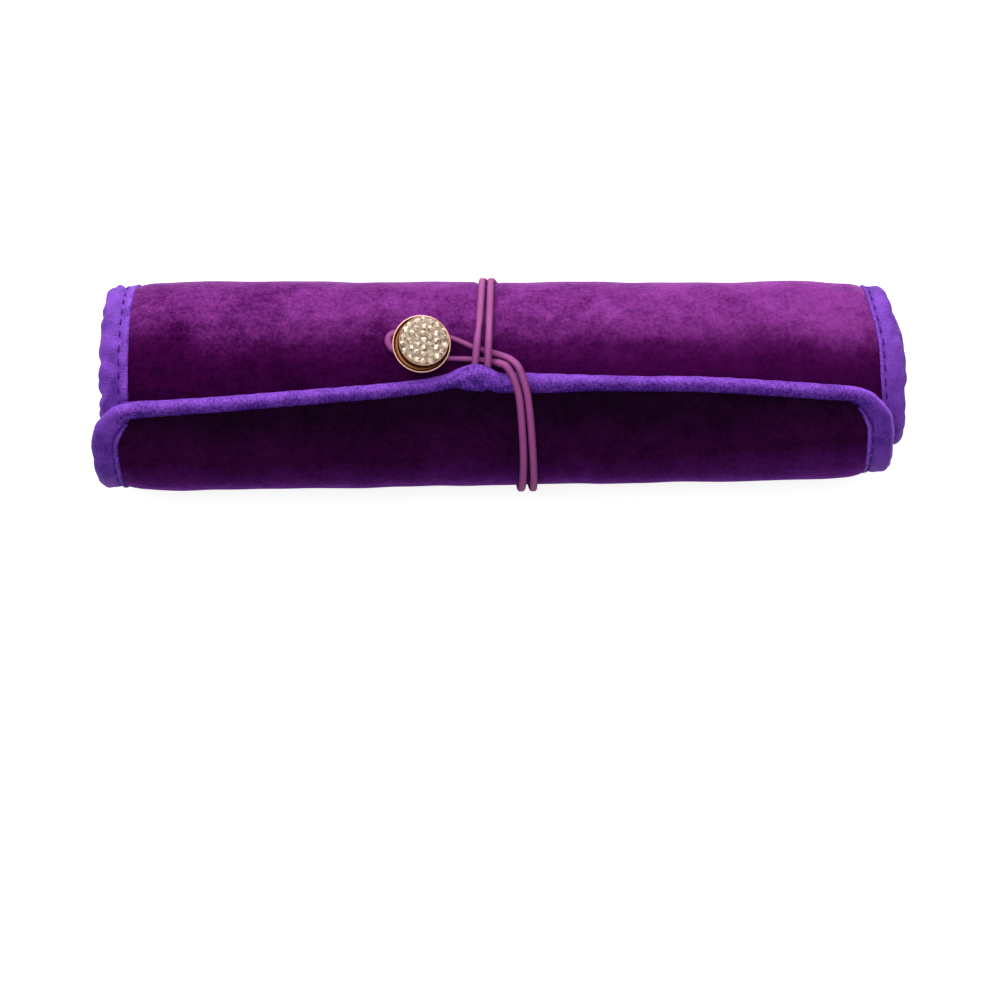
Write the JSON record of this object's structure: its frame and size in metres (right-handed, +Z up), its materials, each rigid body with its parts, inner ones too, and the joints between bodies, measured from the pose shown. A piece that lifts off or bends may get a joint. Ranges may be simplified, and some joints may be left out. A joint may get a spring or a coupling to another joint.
{
  "type": "jewelry roll",
  "caption": "Padded velvet jewelry roll with satin-bound edges, rolled up and held shut by a doubled elastic looped round it and hooked under a stone-set button.",
  "frame": {"origin": "on the surface that the roll lies on, under the middle of its overall box", "axes": "+X along the roll, with the button left of the middle seen from the flap side; +Y from the flap to the back; +Z up"},
  "size_m": [0.2358, 0.0662, 0.0496],
  "materials": {
    "velvet": "dark plum pile velvet",
    "wadding": "white polyester wadding",
    "lining_velvet": "plum velvet lining",
    "satin": "blue-violet ribbed satin tape",
    "elastic": "braided mauve elastic",
    "plating": "rose gold plating",
    "stones": "foiled cut glass",
    "thread": "wound sewing thread",
    "nylon": "moulded nylon coil"
  },
  "bodies": {
    "roll": {"roll_cover": "velvet", "roll_wadding": "wadding", "roll_lining": "lining_velvet", "roll_binding": "satin", "elastic_loop": "elastic", "button_thread": "thread", "ring_bar_sleeve": "lining_velvet", "ring_bar_filling": "wadding", "ring_bar_tab": "satin", "ring_bar_anchor": "satin", "snap_stud": "plating", "snap_socket": "plating", "snap_cap": "plating", "slip_pocket": "lining_velvet", "slip_pocket_trim": "satin"},
    "flap": {"flap_cover": "velvet", "flap_wadding": "wadding", "flap_lining": "lining_velvet", "flap_binding": "satin", "zip_pocket": "lining_velvet", "zip_tape_lining": "satin", "zip_tape_pocket": "satin", "zip_coil_lining": "nylon", "zip_coil_pocket": "nylon", "zip_stop_left": "plating", "zip_stop_right": "plating"},
    "button": {"button_casting": "plating", "button_stones": "stones"},
    "slider": {"zip_slider": "plating", "zip_pull": "plating"}
  },
  "joints": [
    {"name": "flap_lift", "type": "hinge", "parent": "roll", "child": "flap", "pos_m": [-0.00295, -0.02361, 0.00768], "axis": [1, 0.0078, -0.0023], "range_deg": [0, 30], "stiffness_Nm_per_rad": 0.1, "springref_deg": -28.65, "deforming": ["elastic_loop"]},
    {"name": "button_swivel", "type": "hinge", "parent": "roll", "child": "button", "pos_m": [-0.02355, 0.00545, 0.04055], "axis": [0.1205, -0.0862, 0.989], "range_deg": [-45, 45]},
    {"name": "zip_slide", "type": "slide", "parent": "flap", "child": "slider", "axis": [0.9999, 0.0087, -0.0059], "range_m": [-0.166, 0]}
  ]
}
